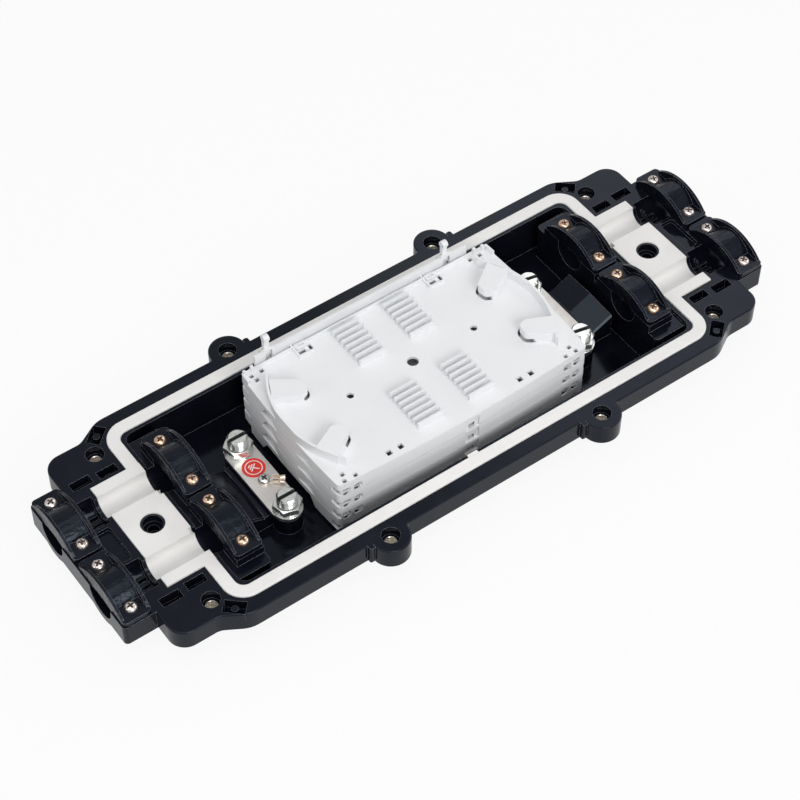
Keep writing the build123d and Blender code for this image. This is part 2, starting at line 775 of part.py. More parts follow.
def splice_comb():
    """One quarter of the splice holder: a row of straight fins."""
    fins = []
    for index in range(fin_count):
        y = comb_inner_y + index * fin_pitch - fin_width / 2
        fins.append(block(comb_inner_x, comb_inner_x + fin_length, y, y + fin_width, -0.5, fin_height))
    return fins


def make_tray():
    tray = tray_slab(0, -tray_floor_thickness, 0) + end_skirts()
    back_inside_y = back_wall_outside_y - tray_wall
    tray = tray + block(-back_wall_half_length, back_wall_half_length, tray_back_y - 1,
                        back_wall_outside_y, -tray_floor_thickness, 0)
    tray = tray + block(-back_wall_half_length, back_wall_half_length, back_inside_y,
                        back_wall_outside_y, -0.5, back_wall_height)
    within = tray_slab(0, -1, 30)
    corner_band = tray_slab(0, -0.5, corner_wall_height) - tray_slab(tray_wall, -1, corner_wall_height + 1)
    corner_band = corner_band & block(-200, 200, corner_band_start_y, tray_back_y - 1, -1, 30)
    tray = tray + corner_band
    for side in (-1, 1):
        tray = tray + (arc_band(side) & within)
    for sx, sy in four_corners(1, 1):
        guide_points = back_guide_points if sy > 0 else front_guide_points
        tray = tray + mirrored(guide_rib(guide_points), sx, sy)
        for fin in splice_comb():
            tray = tray + mirrored(fin, sx, sy)
    for sx, sy in four_corners(1, 1):
        body, cut = retention_tongue(0 if sy > 0 else tongue_front_shift)
        tray = tray + mirrored(body, sx, sy) - mirrored(cut, sx, sy)

    # Holes in the floor, and the notches of the stacking snaps in the front skirt
    tray = tray - post(0, 0, center_hole_radius, -5, 5)
    skirt_y = tray_front_y - tray_front_bulge
    for side in (-1, 1):
        tray = tray - post(side * side_hole_x, 0, side_hole_radius, -5, 5)
        for x in front_hole_x:
            tray = tray - square_hole(side * x, -front_hole_y, front_hole_half)
        for x, y in front_hole_places:
            tray = tray - square_hole(side * x, -y, corner_hole_half)
        for x, y in back_hole_places:
            tray = tray - square_hole(side * x, y, corner_hole_half)
        for x, y in front_hole_places[:2]:
            tray = tray - block(side * x - window_half, side * x + window_half, -60, -y + 4,
                                -skirt_depth - 1, -skirt_depth + window_height)
        tray = tray + mirrored(back_corner(), side, 1)
        tray = tray + Pos(side * clip_x, 0, 0) * back_clip() - Pos(side * clip_x, 0, 0) * back_clip_slots()

    # Latch recess in the middle of the front skirt
    tray = tray - block(latch_low_x, latch_high_x, -60, skirt_y + latch_recess,
                        -skirt_depth - 1, -latch_top)
    tray = tray - block(*latch_notch, -60, skirt_y + 4,
                        -skirt_depth - 1, -skirt_depth + latch_notch_height)

    # Hinge: openings for the hooks of the tray below, then pins, ears and hooks
    for x in hinge_places_x:
        half = hinge_ring_width / 2 + hinge_ear_gap
        tray = tray - block(x - half, x + half, back_wall_outside_y - hinge_window_depth, 60,
                            -tray_floor_thickness - 1, hinge_window_top)
        tray = tray + hinge_pin_and_ears(x) + hinge_hook(x)
    return tray


def square_hole(x, y, half):
    return block(x - half, x + half, y - half, y + half, -5, 5)


def back_corner():
    """Two snap posts at a back corner with a low wall between them."""
    corner = low_wall(corner_post_places[0], corner_post_places[1], corner_wall_height)
    half = corner_post_size / 2
    for x, y in corner_post_places:
        corner = corner + block(x - half, x + half, y - half, y + half, -0.5, corner_post_height)
    return corner


def back_clip():
    """Raised clip pad near the back wall with an angled fence round it."""
    pad = block(-clip_pad_half, clip_pad_half, clip_pad_start_y, clip_pad_end_y, -0.5, clip_pad_height)
    side, front_edge, depth = clip_recess
    pad = pad - block(-clip_pad_half + side, clip_pad_half - side, clip_pad_start_y + front_edge,
                      clip_pad_end_y - side, clip_pad_height - depth, clip_pad_height + 1)
    left = block(-clip_reach, -clip_reach + clip_wall, clip_fence_y, back_wall_outside_y - 1,
                 -0.5, clip_wall_height)
    front = block(-clip_reach, clip_reach, clip_fence_y, clip_fence_y + clip_wall,
                  -0.5, clip_wall_height * clip_front_share)
    return pad + left + front


def back_clip_slots():
    front_end_y = clip_pad_start_y - clip_slot_gap
    front = block(-clip_pad_half, clip_pad_half - clip_slot_width, front_end_y - clip_slot_width,
                  front_end_y, -5, 1)
    side_start = clip_pad_half + clip_slot_gap
    right = block(side_start, side_start + clip_side_slot_width,
                  clip_fence_y + clip_wall + clip_slot_gap, clip_pad_start_y + 1, -5, 1)
    return front + right


def hinge_pin_and_ears(x):
    """Two ears on the outside of the back wall and the pin between them."""
    half = hinge_ring_width / 2 + hinge_ear_gap
    hinge = rod_along_x(x - half - 0.2, x + half + 0.2, hinge_offset_y, hinge_rise, hinge_pin_radius)
    for start in (x - half - hinge_ear_width, x + half):
        end = start + hinge_ear_width
        hinge = hinge + rod_along_x(start, end, hinge_offset_y, hinge_rise, hinge_ear_radius)
        hinge = hinge + block(start, end, back_wall_outside_y - 1, hinge_offset_y,
                              hinge_rise - hinge_ear_radius, hinge_rise + hinge_ear_radius)
    return hinge


def hinge_hook(x):
    """Bracket over the opening in the back wall; its ring holds a pin of the tray above."""
    ring_z = tray_pitch + hinge_rise
    x_low = x - hinge_ring_width / 2
    x_high = x + hinge_ring_width / 2
    stem_back = hinge_offset_y + hinge_stem_thickness / 2
    hook = block(x - hinge_foot_half_width, x + hinge_foot_half_width, back_wall_outside_y - tray_wall,
                 back_wall_outside_y, hinge_window_top, hinge_foot_top)
    hook = hook + block(x_low, x_high, back_wall_outside_y - 0.5, stem_back,
                        hinge_window_top, hinge_foot_top)
    hook = hook + block(x_low, x_high, hinge_offset_y - hinge_stem_thickness / 2, stem_back,
                        hinge_foot_top - 0.2, ring_z - 1)
    hook = hook + rod_along_x(x_low, x_high, hinge_offset_y, ring_z, hinge_ring_radius)
    return hook - rod_along_x(x_low - 1, x_high + 1, hinge_offset_y, ring_z, hinge_hole_radius)


# Strength-member bars, studs and earth parts

def make_bar(side):
    bar = SlotOverall(bar_length, bar_width, rotation=90)
    bar = Pos(side * bar_x, 0, bar_bottom) * extrude(bar, bar_thickness)
    for y in (-stud_y, stud_y):
        bar = bar - post(side * bar_x, y, stud_bore_radius, bar_bottom - 1, bar_top + 1)
    if side < 0:
        bar = bar - post(-bar_x, earth_screw_y, earth_screw_shank_radius, bar_bottom - 1, bar_top + 1)
    return bar


def stud_places():
    return [(sx * bar_x, sy * stud_y) for sx in (-1, 1) for sy in (-1, 1)]


def make_studs():
    """Slotted cylinders on a thinner stem that goes through washer, bar and post."""
    solids = []
    nut_top = bar_top + washer_thickness + nut_height
    for x, y in stud_places():
        head = post(x, y, stud_radius, nut_top, stud_top)
        head = chamfer(head.edges().group_by(Axis.Z)[-1], stud_bevel)
        turn = stud_slot_turn if x > 0 else 0
        slot = Box(3 * stud_radius, stud_slot_width, 2 * stud_slot_depth)
        slot = Pos(x, y, stud_top) * Rot(0, 0, turn) * slot
        stem = post(x, y, stud_bore_radius, bar_bottom, nut_top + 0.5)
        solids.append((head - slot) + stem)
    return Compound(children=solids)


def make_nuts():
    solids = []
    z = bar_top + washer_thickness
    for x, y in stud_places():
        hexagon = RegularPolygon(nut_across_flats / 2, 6, major_radius=False)
        nut = Pos(x, y, z) * Rot(0, 0, nut_turn) * extrude(hexagon, nut_height)
        cone = post(x, y, nut_across_flats * nut_corner_share, z, z + nut_height)
        cone = chamfer(cone.edges(), nut_bevel)
        nut = (nut & cone) - post(x, y, stud_bore_radius, z - 1, z + nut_height + 1)
        solids.append(nut)
    return Compound(children=solids)


def make_washers():
    solids = []
    for x, y in stud_places():
        ring = post(x, y, washer_radius, bar_top, bar_top + washer_thickness)
        solids.append(ring - post(x, y, stud_bore_radius, bar_top - 1, bar_top + 5))
    return Compound(children=solids)


def make_inserts():
    solids = []
    top = flange_top - flange_hole_depth + insert_stand
    for x, y in flange_hole_places():
        ring = post(x, y, insert_radius, flange_bottom, top)
        solids.append(ring - post(x, y, insert_thread_radius, flange_bottom - 1, top + 1))
    return Compound(children=solids)


def make_label():
    return post(-bar_x, label_y, label_radius, bar_top, bar_top + label_thickness)


def make_earth_screw():
    screw = pan_screw(earth_screw_head_radius, earth_screw_head_height, earth_screw_shank_radius,
                      earth_screw_length)
    return Pos(-bar_x, earth_screw_y, bar_top + earth_lug_thickness) * screw


def make_earth_lug():
    """Ring terminal under the earth screw, with a folded crimp barrel."""
    half_tail = earth_lug_tail_width / 2
    barrel_low = earth_barrel_distance - earth_barrel_length / 2
    barrel_high = earth_barrel_distance + earth_barrel_length / 2
    lug = post(0, 0, earth_lug_ring_radius, 0, earth_lug_thickness)
    lug = lug + block(0, earth_lug_length, -half_tail, half_tail, 0, earth_lug_thickness)
    barrel = rod_along_x(barrel_low, barrel_high, 0, earth_barrel_radius, earth_barrel_radius)
    barrel = barrel - rod_along_x(barrel_low - 1, barrel_high + 1, 0, earth_barrel_radius,
                                  earth_barrel_bore_radius)
    lug = lug + barrel - post(0, 0, earth_screw_shank_radius, -1, 5)
    return Pos(-bar_x, earth_screw_y, bar_top) * Rot(0, 0, earth_lug_turn) * lug


def make_tray_screws():
    screw = pan_screw(tray_screw_head_radius, tray_screw_head_height, tray_screw_shank_radius,
                      tray_screw_length)
    places = [Pos(x, 0, lowest_tray_floor) for x in (-side_hole_x, side_hole_x)]
    return Compound(children=[place * screw for place in places])


os.makedirs("parts", exist_ok=True)

export_step(make_base_shell(), "parts/base_shell.step")
export_step(make_gasket(), "parts/sealing_gasket.step")

strap = make_strap()
for name, x, seat in (("outer", outer_strap_x, flange_top), ("inner", inner_strap_x, inner_saddle_top)):
    places = [(sx * x, sy * cable_y) for sx in (-1, 1) for sy in (-1, 1)]
    for number, (strap_x, strap_y) in enumerate(places, 1):
        export_step(Pos(strap_x, strap_y, seat) * strap, f"parts/{name}_clamp_strap_{number}.step")
    export_step(clamp_screws(x, seat), f"parts/{name}_clamp_screws.step")

tray = make_tray()
for number in range(1, tray_count + 1):
    floor_height = lowest_tray_floor + (number - 1) * tray_pitch
    export_step(Pos(0, 0, floor_height) * tray, f"parts/splice_tray_{number}.step")
export_step(make_tray_screws(), "parts/tray_screws.step")

export_step(make_bar(-1), "parts/strength_bar_left.step")
export_step(make_bar(1), "parts/strength_bar_right.step")
export_step(make_studs(), "parts/slotted_studs.step")
export_step(make_nuts(), "parts/stud_nuts.step")
export_step(make_washers(), "parts/stud_washers.step")
export_step(make_inserts(), "parts/threaded_inserts.step")
export_step(make_label(), "parts/earth_label.step")
export_step(make_earth_screw(), "parts/earth_screw.step")
export_step(make_earth_lug(), "parts/earth_lug.step")
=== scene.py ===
import json
import math
import bmesh
import bpy
from mathutils import Matrix, Vector

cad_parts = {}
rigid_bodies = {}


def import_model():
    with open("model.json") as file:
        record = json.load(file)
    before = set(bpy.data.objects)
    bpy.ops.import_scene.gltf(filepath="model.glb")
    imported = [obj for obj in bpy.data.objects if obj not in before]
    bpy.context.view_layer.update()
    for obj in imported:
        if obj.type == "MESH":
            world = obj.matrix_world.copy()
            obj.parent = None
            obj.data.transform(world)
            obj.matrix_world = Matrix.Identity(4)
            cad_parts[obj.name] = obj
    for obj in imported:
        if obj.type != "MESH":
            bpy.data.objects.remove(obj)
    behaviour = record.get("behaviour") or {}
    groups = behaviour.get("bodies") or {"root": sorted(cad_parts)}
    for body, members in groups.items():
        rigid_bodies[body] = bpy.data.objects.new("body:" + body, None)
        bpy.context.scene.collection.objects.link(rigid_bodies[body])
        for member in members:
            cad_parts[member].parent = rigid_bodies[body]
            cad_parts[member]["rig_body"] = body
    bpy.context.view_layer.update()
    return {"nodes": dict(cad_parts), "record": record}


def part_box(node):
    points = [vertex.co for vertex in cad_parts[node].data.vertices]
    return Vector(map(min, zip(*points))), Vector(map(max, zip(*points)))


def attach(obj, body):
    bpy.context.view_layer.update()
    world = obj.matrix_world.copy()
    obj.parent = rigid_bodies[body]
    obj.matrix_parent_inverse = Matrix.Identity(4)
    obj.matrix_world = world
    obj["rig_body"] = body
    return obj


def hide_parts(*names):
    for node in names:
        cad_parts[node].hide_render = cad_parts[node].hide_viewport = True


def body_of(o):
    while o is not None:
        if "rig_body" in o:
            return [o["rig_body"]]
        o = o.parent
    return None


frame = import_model()
nodes = frame["nodes"]
mm = 0.001
weld = 0.001 * mm
print("closure loaded:", len(nodes), "nodes")


# node trees and sums on their sockets

class Sock:
    def __init__(self, board, out):
        self.board = board
        self.out = out

    def calc(self, operation, *values):
        return self.board.node("ShaderNodeMath", {"operation": operation}, dict(enumerate(values)))

    def __add__(self, other):
        return self.calc("ADD", self, other)

    def __sub__(self, other):
        return self.calc("SUBTRACT", self, other)

    def __rsub__(self, other):
        return self.calc("SUBTRACT", other, self)

    def __mul__(self, other):
        return self.calc("MULTIPLY", self, other)

    def __pow__(self, other):
        return self.calc("POWER", self, other)

    def __lt__(self, other):
        return self.calc("LESS_THAN", self, other)

    def __gt__(self, other):
        return self.calc("GREATER_THAN", self, other)

    __radd__ = __add__


class Board:
    # the node tree of a material or of the world, built from empty
    def __init__(self, tree):
        self.tree = tree
        tree.nodes.clear()

    def node(self, kind, settings=None, inputs=None, output=0):
        made = self.tree.nodes.new(kind)
        for key, value in (settings or {}).items():
            if key == "stops":
                ramp = made.color_ramp
                while len(ramp.elements) < len(value):
                    ramp.elements.new(0.5)
                for stop, (position, colour) in zip(ramp.elements, value):
                    stop.position = position
                    stop.color = colour
            else:
                setattr(made, key, value)
        for key, value in (inputs or {}).items():
            if isinstance(value, Sock):
                self.tree.links.new(value.out, made.inputs[key])
            else:
                made.inputs[key].default_value = value
        return Sock(self, made.outputs[output])

    def rayMask(self, shares):
        # how much of the second shader each kind of ray sees
        return sum(self.node("ShaderNodeLightPath", output=kind) * share
                   for kind, share in shares.items())

    def show(self, surface, kind):
        out = self.tree.nodes.new(kind)
        self.tree.links.new(surface.out, out.inputs["Surface"])


class Paint(Board):
    def __init__(self, name):
        self.material = bpy.data.materials.new(name)
        self.material.use_nodes = True
        super().__init__(self.material.node_tree)
        self.place = self.node("ShaderNodeTexCoord", output="Object")

    def noise(self, scale, detail=3.0, stretch=(1, 1, 1), roughness=0.5):
        spot = self.node("ShaderNodeMapping", None, {"Vector": self.place, "Scale": stretch})
        inputs = {"Vector": spot, "Scale": scale, "Detail": detail, "Roughness": roughness}
        return self.node("ShaderNodeTexNoise", None, inputs, "Fac")

    def mix(self, mask, first, second):
        # inputs 6 and 7 and output 2 are the node's colours
        return self.node("ShaderNodeMix", {"data_type": "RGBA"}, {0: mask, 6: first, 7: second}, 2)

    def blend(self, value, span, first, second):
        # goes from the first colour towards the second while the value runs from start to end
        start, end, share = span
        mask = self.node("ShaderNodeValToRGB", {"stops": ((start, grey(0)), (end, grey(share)))},
                         {"Fac": value}, "Color")
        return self.mix(mask, first, second)

    def bump(self, height, depth, strength, under=None):
        inputs = {"Height": height, "Distance": depth, "Strength": strength}
        if under is not None:
            inputs["Normal"] = under
        return self.node("ShaderNodeBump", None, inputs)

    def softEdge(self, radius):
        return self.node("ShaderNodeBevel", {"samples": 4}, {"Radius": radius})

    def edgeMask(self, edged, gain):
        # how far the softened normal leaves the face, from 0 to 1
        face = self.node("ShaderNodeNewGeometry", output="Normal")
        lean = 1 - self.node("ShaderNodeVectorMath", {"operation": "DOT_PRODUCT"},
                             {0: edged, 1: face}, "Value")
        return lean.calc("MINIMUM", lean * gain, 1.0)

    def finish(self, surface):
        shader = self.node("ShaderNodeBsdfPrincipled", None, surface, "BSDF")
        self.show(shader, "ShaderNodeOutputMaterial")
        return self.material


def grey(value):
    return (value, value, value, 1.0)


# finishes; a span holds the start and end of a blend and the share of the second colour at its end

blackMoulding = {
    "colour": (0.004, 0.0045, 0.0085, 1), "dust": (0.012, 0.013, 0.018, 1), "dustSpan": (0.45, 0.8, 0.5),
    # the edge colour is a painted highlight, a lighter colour laid along the softened edges
    "edgeHighlightColour": (0.30, 0.31, 0.35, 1), "edgeHighlightGain": 10.0, "edge": 0.24 * mm,
    "rough": 0.13, "swing": 0.12, "smear": 60, "ior": 1.33, "glint": (0.70, 0.84, 1.0, 1),
    "ripple": 26, "rippleDepth": 0.5 * mm, "rippleStrength": 0.22,
    "grain": 900, "grainDepth": 0.02 * mm, "grainStrength": 0.25,
}
clampMoulding = dict(blackMoulding, rough=0.17, dust=(0.014, 0.014, 0.021, 1))
flowMarks = {"scale": 210, "detail": 4, "stretch": (0.25, 1, 0.5), "roughness": 0.6}
flowDepth = 1.0 * mm
flowStrength = 0.85


def paintBlack(name, look, marked):
    # marked: with the flow marks that run along the closure over the arch of a clamp
    paint = Paint(name)
    smear = paint.noise(look["smear"], detail=4)
    ripple = paint.noise(look["ripple"], detail=2)
    grain = paint.noise(look["grain"], detail=4)
    edged = paint.softEdge(look["edge"])
    surface = paint.bump(ripple, look["rippleDepth"], look["rippleStrength"], edged)
    if marked:
        surface = paint.bump(paint.noise(**flowMarks), flowDepth, flowStrength, surface)
    normal = paint.bump(grain, look["grainDepth"], look["grainStrength"], surface)
    colour = paint.blend(smear, look["dustSpan"], look["colour"], look["dust"])
    # painted highlight: the colour turns lighter along the softened edges
    colour = paint.mix(paint.edgeMask(edged, look["edgeHighlightGain"]), colour, look["edgeHighlightColour"])
    return paint.finish({"Base Color": colour, "IOR": look["ior"], "Specular Tint": look["glint"],
                         "Roughness": look["rough"] + (smear - 0.5) * look["swing"],
                         "Normal": normal})


gasketRubber = {"colour": (0.89, 0.875, 0.855, 1), "shade": (0.78, 0.765, 0.74, 1),
                "span": (0.5, 0.85, 0.6), "cloud": 45, "cloudDetail": 5,
                "rough": 0.48, "swing": 0.2, "ior": 1.43, "edge": 0.5 * mm,
                "grain": 1500, "depth": 0.03 * mm, "strength": 0.5}
trayMoulding = {"colour": (0.875, 0.88, 0.89, 1), "shade": (0.83, 0.835, 0.85, 1),
                "span": (0.4, 0.9, 0.5), "cloud": 30, "cloudDetail": 3,
                "rough": 0.34, "swing": 0.14, "ior": 1.5, "edge": 0.25 * mm,
                "grain": 1100, "depth": 0.02 * mm, "strength": 0.35}


def paintWhite(name, look):
    paint = Paint(name)
    cloud = paint.noise(look["cloud"], look["cloudDetail"])
    fine = paint.noise(look["grain"])
    edged = paint.softEdge(look["edge"])
    return paint.finish({"Base Color": paint.blend(cloud, look["span"], look["colour"], look["shade"]),
                         "Roughness": look["rough"] + (cloud - 0.5) * look["swing"],
                         "Normal": paint.bump(fine, look["depth"], look["strength"], edged),
                         "IOR": look["ior"]})


even = (1, 1, 1)
metals = {
    "brightZinc": {
        "light": (0.80, 0.82, 0.79, 1), "dark": (0.50, 0.52, 0.50, 1), "rough": 0.2, "metal": 0.88,
        "stretch": even, "scale": 420, "edge": 0.14 * mm, "depth": 0.03 * mm},
    "brushedBar": {
        "light": (0.80, 0.77, 0.74, 1), "dark": (0.64, 0.61, 0.58, 1), "rough": 0.38, "metal": 1.0,
        "stretch": (1, 0.05, 1), "scale": 2600, "edge": 0.25 * mm, "depth": 0.015 * mm},
    "nickelScrew": {
        "light": (0.84, 0.76, 0.72, 1), "dark": (0.44, 0.32, 0.27, 1), "rough": 0.22, "metal": 0.85,
        "stretch": even, "scale": 420, "edge": 0.1 * mm, "depth": 0.012 * mm},
    "yellowZincScrew": {
        "light": (0.86, 0.62, 0.46, 1), "dark": (0.48, 0.22, 0.12, 1), "rough": 0.22, "metal": 0.85,
        "stretch": even, "scale": 330, "edge": 0.1 * mm, "depth": 0.012 * mm},
    "insertSteel": {
        "light": (0.90, 0.85, 0.76, 1), "dark": (0.42, 0.29, 0.18, 1), "rough": 0.26, "metal": 0.85,
        "stretch": even, "scale": 400, "edge": 0.12 * mm, "depth": 0.015 * mm},
    "tinnedLug": {
        "light": (0.92, 0.82, 0.70, 1), "dark": (0.66, 0.46, 0.32, 1), "rough": 0.22, "metal": 0.85,
        "stretch": even, "scale": 380, "edge": 0.12 * mm, "depth": 0.012 * mm},
}
# the edge gain sets how quickly the painted highlight comes in from the edges
plating = {"patch": 160, "span": (0.45, 0.75, 1), "swing": 0.14, "edgeHighlightGain": 8.0, "strength": 0.4}


def paintMetal(name):
    # two shades of tarnish, with a painted highlight in white along the edges
    paint = Paint(name)
    look = metals[name]
    streak = paint.noise(look["scale"], detail=4, stretch=look["stretch"])
    patch = paint.noise(plating["patch"])
    edged = paint.softEdge(look["edge"])
    colour = paint.blend(streak * 0.5 + patch * 0.5, plating["span"], look["light"], look["dark"])
    # painted highlight: the colour goes to white along the softened edges
    colour = paint.mix(paint.edgeMask(edged, plating["edgeHighlightGain"]), colour, grey(1))
    return paint.finish({"Base Color": colour, "Metallic": look["metal"],
                         "Roughness": look["rough"] + (patch - 0.5) * plating["swing"],
                         "Normal": paint.bump(streak, look["depth"], plating["strength"], edged)})


# dark colours painted as shade on the cut faces of slots and crosses
recessShadeColours = {"zinc": (0.045, 0.047, 0.046, 1), "steel": (0.10, 0.065, 0.05, 1),
                 "yellow": (0.16, 0.07, 0.025, 1)}
# mottle of the painted shade in slots and crosses
recessShadeMottle = {"scale": 700, "span": (0.35, 0.8, 1), "colour": grey(0.25), "metal": 0.6,
        "rough": 0.42, "swing": 0.1, "depth": 0.02 * mm, "strength": 0.4}


def paintRecess(name):
    # painted shade down in a slot or a cross, a dull mottled dark colour
    paint = Paint(name + "Recess")
    grain = paint.noise(recessShadeMottle["scale"], detail=4)
    colour = paint.blend(grain, recessShadeMottle["span"], recessShadeColours[name], recessShadeMottle["colour"])
    return paint.finish({"Base Color": colour, "Metallic": recessShadeMottle["metal"],
                         "Roughness": recessShadeMottle["rough"] + grain * recessShadeMottle["swing"],
                         "Normal": paint.bump(grain, recessShadeMottle["depth"], recessShadeMottle["strength"])})


# lengths of the symbol as shares of the radius of the label; bars are heights and half widths
earthLabel = {"colour": (0.78, 0.035, 0.02, 1), "mark": (0.90, 0.88, 0.86, 1), "turn": -138,
              "ring": (0.68, 0.76), "stroke": 0.05, "stem": (-0.02, 0.5),
              "bars": ((-0.04, 0.44), (-0.22, 0.30), (-0.40, 0.16)),
              "grain": 1400, "rough": 0.32, "swing": 0.15, "depth": 0.02 * mm, "strength": 0.3}


def paintLabel():
    # red disc with a thin ring and the earth symbol
    paint = Paint("earthLabel")
    look = earthLabel
    low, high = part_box("earth_label")
    middle = [(a + b) / 2 for a, b in zip(low, high)]
    radius = (high[0] - low[0]) / 2
    spot = paint.node("ShaderNodeMapping", {"vector_type": "TEXTURE"},
                      {"Vector": paint.place, "Location": middle, "Scale": (radius, radius, radius),
                       "Rotation": (0, 0, math.radians(look["turn"]))})
    x = paint.node("ShaderNodeSeparateXYZ", None, {"Vector": spot}, "X")
    y = paint.node("ShaderNodeSeparateXYZ", None, {"Vector": spot}, "Y")
    side = x.calc("ABSOLUTE", x)
    away = (x * x + y * y) ** 0.5
    inner, outer = look["ring"]
    foot, top = look["stem"]
    mark = (away > inner) * (away < outer) + (side < look["stroke"]) * (y > foot) * (y < top)
    for height, half in look["bars"]:
        mark = mark + (side < half) * (y.calc("ABSOLUTE", y - height) < look["stroke"])
    worn = paint.noise(look["grain"])
    colour = paint.mix(mark.calc("MINIMUM", mark, 1.0), look["colour"], look["mark"])
    return paint.finish({"Base Color": colour, "Roughness": look["rough"] + worn * look["swing"],
                         "Normal": paint.bump(worn, look["depth"], look["strength"])})


finishes = {
    "shell_black": paintBlack("blackMoulding", blackMoulding, False),
    "gasket_white": paintWhite("gasketRubber", gasketRubber),
    "tray_white": paintWhite("trayMoulding", trayMoulding),
    "zinc_bright": paintMetal("brightZinc"),
    "bar_steel": paintMetal("brushedBar"),
    "screw_nickel": paintMetal("nickelScrew"),
    "screw_yellow_zinc": paintMetal("yellowZincScrew"),
    "insert_brass": paintMetal("insertSteel"),
    "lug_brass": paintMetal("tinnedLug"),
    "label_red": paintLabel(),
}
clampFinish = paintBlack("clampMoulding", clampMoulding, True)
# materials of the painted shade in slots and crosses
recessShadeFinishes = {name: paintRecess(name) for name in recessShadeColours}

slotOf = {part["node"]: part["material_slot"] for part in frame["record"]["subparts"]}
for name, node in nodes.items():
    finish = clampFinish if "clamp_strap" in name else finishes[slotOf[name]]
    if not node.material_slots:
        node.data.materials.append(finish)
    for slot in node.material_slots:
        slot.material = finish
print("finishes laid on", len(nodes), "nodes")


# turned, cut and bent pieces, in millimetres up to the mesh

def lathe(mesh, outline, steps, closed=False):
    # spins a line of (radius, height) pairs round the upright axis
    rows = []
    for radius, height in outline:
        count = steps if radius > 0 else 1
        rows.append([mesh.verts.new((radius * mm * math.cos(math.tau * i / steps),
                                     radius * mm * math.sin(math.tau * i / steps), height * mm))
                     for i in range(count)])
    for first, second in list(zip(rows, rows[1:])) + ([(rows[-1], rows[0])] if closed else []):
        for i in range(steps):
            after = (i + 1) % steps
            ring = [first[i % len(first)], first[after % len(first)],
                    second[after % len(second)], second[i % len(second)]]
            mesh.faces.new(list(dict.fromkeys(ring)))


def prism(mesh, lower, upper, finish=0):
    # joins two rings of the same number of points
    rings = [[mesh.verts.new([value * mm for value in point]) for point in ring]
             for ring in (lower, upper)]
    mesh.faces.new(rings[0]).material_index = finish
    mesh.faces.new(rings[1]).material_index = finish
    for i in range(len(lower)):
        after = (i + 1) % len(lower)
        side = (rings[0][i], rings[0][after], rings[1][after], rings[1][i])
        mesh.faces.new(side).material_index = finish


def rectangle(xLow, xHigh, yLow, yHigh, z):
    return [(xLow, yLow, z), (xHigh, yLow, z), (xHigh, yHigh, z), (xLow, yHigh, z)]


def edgedRing(bore, radius, low, high, edge=0.12):
    # outline of a flat ring whose outer edges are broken
    return [(bore, low), (radius - edge, low), (radius, low + edge),
            (radius, high - edge), (radius - edge, high), (bore, high)]


def meshPiece(name, mesh, materials):
    bmesh.ops.recalc_face_normals(mesh, faces=mesh.faces)
    data = bpy.data.meshes.new(name)
    mesh.to_mesh(data)
    mesh.free()
    if "custom_normal" in data.attributes:
        data.attributes.remove(data.attributes["custom_normal"])
    for material in materials:
        data.materials.append(material)
    piece = bpy.data.objects.new(name, data)
    bpy.context.scene.collection.objects.link(piece)
    return piece


def carve(piece, lower, upper, finish=0):
    # cuts a prism out of a piece; the cut faces get the finish of that number
    mesh = bmesh.new()
    prism(mesh, lower, upper, finish)
    cutter = meshPiece("cutter", mesh, piece.data.materials)
    cut = piece.modifiers.new("cut", "BOOLEAN")
    cut.object = cutter
    cut.solver = "EXACT"
    bpy.context.view_layer.update()
    data = bpy.data.meshes.new_from_object(piece.evaluated_get(bpy.context.evaluated_depsgraph_get()))
    piece.modifiers.clear()
    piece.data = data
    bpy.data.objects.remove(cutter)


def spread(name, sample, places, node, crease=32):
    # one piece of all the copies of a sample, in place of the CAD node
    mesh = bmesh.new()
    for place in places:
        copy = sample.data.copy()
        copy.transform(place)
        mesh.from_mesh(copy)
    data = bpy.data.meshes.new(name)
    mesh.to_mesh(data)
    mesh.free()
    for material in sample.data.materials:
        data.materials.append(material)
    data.shade_smooth()
    data.set_sharp_from_angle(angle=math.radians(crease))
    piece = bpy.data.objects.new(name, data)
    bpy.context.scene.collection.objects.link(piece)
    bpy.data.objects.remove(sample)
    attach(piece, body_of(nodes[node])[0])
    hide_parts(node)


def solidBoxes(node):
    # lowest and highest corner of every separate solid in a node
    mesh = bmesh.new()
    mesh.from_mesh(nodes[node].data)
    bmesh.ops.remove_doubles(mesh, verts=mesh.verts, dist=weld)
    left = set(mesh.verts)
    boxes = []
    while left:
        group = [left.pop()]
        for vert in group:
            for edge in vert.link_edges:
                other = edge.other_vert(vert)
                if other in left:
                    left.remove(other)
                    group.append(other)
        spots = [vert.co for vert in group]
        boxes.append((Vector([min(spot[i] for spot in spots) for i in range(3)]),
                      Vector([max(spot[i] for spot in spots) for i in range(3)])))
    mesh.free()
    return sorted(boxes, key=lambda corners: tuple(round(value, 5) for value in corners[0]))


def standing(corners, turn=0.0):
    # the place of a sample on the upright axis of a solid, with its top on the solid's top
    low, high = corners
    spot = Vector(((low.x + high.x) / 2, (low.y + high.y) / 2, high.z))
    return Matrix.Translation(spot) @ Matrix.Rotation(math.radians(turn), 4, "Z")


# dome and cross as shares of the head's radius and height; mouth and bottom scale the cross's own
# reach and width above the head and at its foot
crossHead = {"flat": 0.36, "crown": 0.02,
             "dome": ((0.62, 0.09), (0.83, 0.26), (0.95, 0.5), (1.0, 0.76), (1.0, 1.0)),
             "reach": 0.66, "width": 0.34, "depth": 0.62, "above": 0.5,
             "mouth": (1.12, 1.1), "bottom": (0.42, 0.7),
             "shank": 1.7, "pitch": 0.8, "thread": 0.28, "steps": 36}


